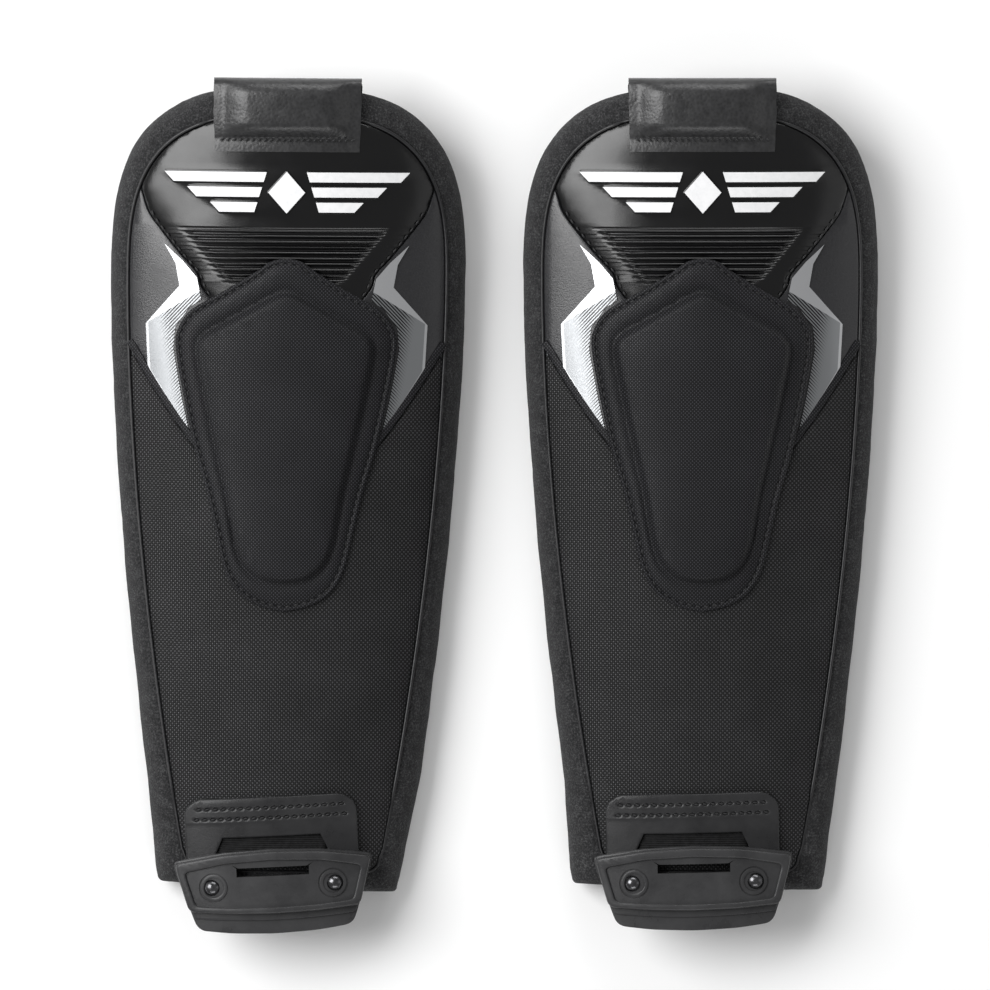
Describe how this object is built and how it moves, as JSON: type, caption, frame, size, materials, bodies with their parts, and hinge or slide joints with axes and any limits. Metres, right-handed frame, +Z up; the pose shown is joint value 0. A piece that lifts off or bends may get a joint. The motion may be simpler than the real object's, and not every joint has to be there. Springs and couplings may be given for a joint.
{
  "type": "hockey shin guards",
  "caption": "Pair of arched padded shin guards with felt rim, moulded shin cap, woven nylon shell, pull tab and hinged rubber toe clip.",
  "frame": {"origin": "on the floor, under the centre of the pair's bounding box", "axes": "+X to the pair's right seen from the front with the toe ends towards the viewer, +Y along the pads towards the pull tabs, +Z up out of the pads' fronts"},
  "size_m": [0.2514, 0.2798, 0.0412],
  "materials": {
    "felt": "matte",
    "foam": "matte",
    "piping": "satin",
    "ballistic_nylon": "matte",
    "gloss_film": "gloss",
    "matte_film": "matte",
    "silver_print": "satin",
    "cap_fabric": "matte",
    "hard_plate": "satin",
    "leather": "satin",
    "webbing": "matte",
    "rubber": "matte",
    "rivet_metal": "gloss"
  },
  "bodies": {
    "left_pad": {"left_felt_liner": "felt", "left_foam_core": "foam", "left_rim_piping": "piping", "left_nylon_panel": "ballistic_nylon", "left_crest_panel": "gloss_film", "left_wing_outer": "matte_film", "left_wing_inner": "matte_film", "left_flash_outer": "silver_print", "left_flash_inner": "silver_print", "left_emblem": "silver_print", "left_cap_cover": "cap_fabric", "left_cap_plate": "hard_plate", "left_cap_foam": "foam", "left_pull_tab": "leather", "left_pull_core": "webbing", "left_toe_tab": "rubber"},
    "left_clip": {"left_toe_leaf": "rubber", "left_clip_base": "rubber", "left_clip_plate": "rubber", "left_rivets": "rivet_metal"},
    "right_pad": {"right_felt_liner": "felt", "right_foam_core": "foam", "right_rim_piping": "piping", "right_nylon_panel": "ballistic_nylon", "right_crest_panel": "gloss_film", "right_wing_outer": "matte_film", "right_wing_inner": "matte_film", "right_flash_outer": "silver_print", "right_flash_inner": "silver_print", "right_emblem": "silver_print", "right_cap_cover": "cap_fabric", "right_cap_plate": "hard_plate", "right_cap_foam": "foam", "right_pull_tab": "leather", "right_pull_core": "webbing", "right_toe_tab": "rubber"},
    "right_clip": {"right_toe_leaf": "rubber", "right_clip_base": "rubber", "right_clip_plate": "rubber", "right_rivets": "rivet_metal"}
  },
  "joints": [
    {"name": "left_clip_flex", "type": "hinge", "parent": "left_pad", "child": "left_clip", "pos_m": [-0.07271, -0.11034, 0.0211], "axis": [-0.9988, -0.0487, -0.0034], "range_deg": [0, 50], "stiffness_Nm_per_rad": 0.08},
    {"name": "right_pad_lift", "type": "slide", "parent": "left_pad", "child": "right_pad", "axis": [0, 0, 1], "range_m": [0, 0.1]},
    {"name": "right_clip_flex", "type": "hinge", "parent": "right_pad", "child": "right_clip", "pos_m": [0.06482, -0.10935, 0.02117], "axis": [-0.9997, -0.0244, -0.0014], "range_deg": [0, 50], "stiffness_Nm_per_rad": 0.08}
  ]
}
